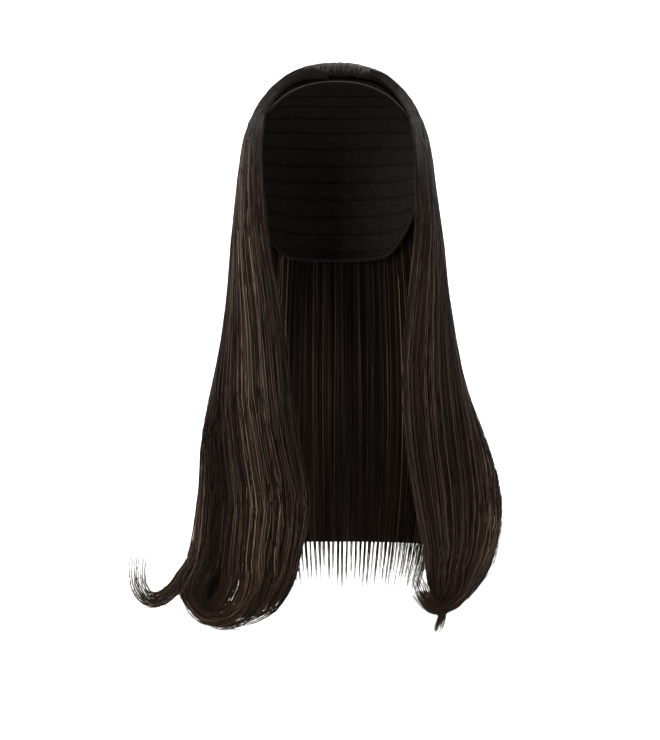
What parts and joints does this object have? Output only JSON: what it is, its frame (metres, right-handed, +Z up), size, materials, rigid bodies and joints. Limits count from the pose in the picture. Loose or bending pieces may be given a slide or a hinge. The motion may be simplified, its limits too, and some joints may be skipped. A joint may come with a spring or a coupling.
{
  "type": "half wig",
  "caption": "Long dark brown half wig on a net cap: black velvet headband with a stitched hem, hair brushed back at the crown, and straight lengths that curl at the ends.",
  "frame": {"origin": "inside of the cap at its crown, where the head's top sits", "axes": "+Z up, -Y towards the face, +X towards the wearer's left, which is the viewer's right from the front"},
  "size_m": [0.3031, 0.2338, 0.4764],
  "materials": {
    "cap_net": "matt dark elastic net",
    "band_velvet": "black velvet",
    "hem_cloth": "matt folded cloth with grey stitches",
    "hair": "glossy straight synthetic fibre"
  },
  "bodies": {
    "root": {"cap": "cap_net", "headband": "band_velvet", "band_hem": "hem_cloth", "hair_crown": "hair", "hair_left": "hair", "hair_right": "hair", "hair_back": "hair"}
  },
  "joints": []
}
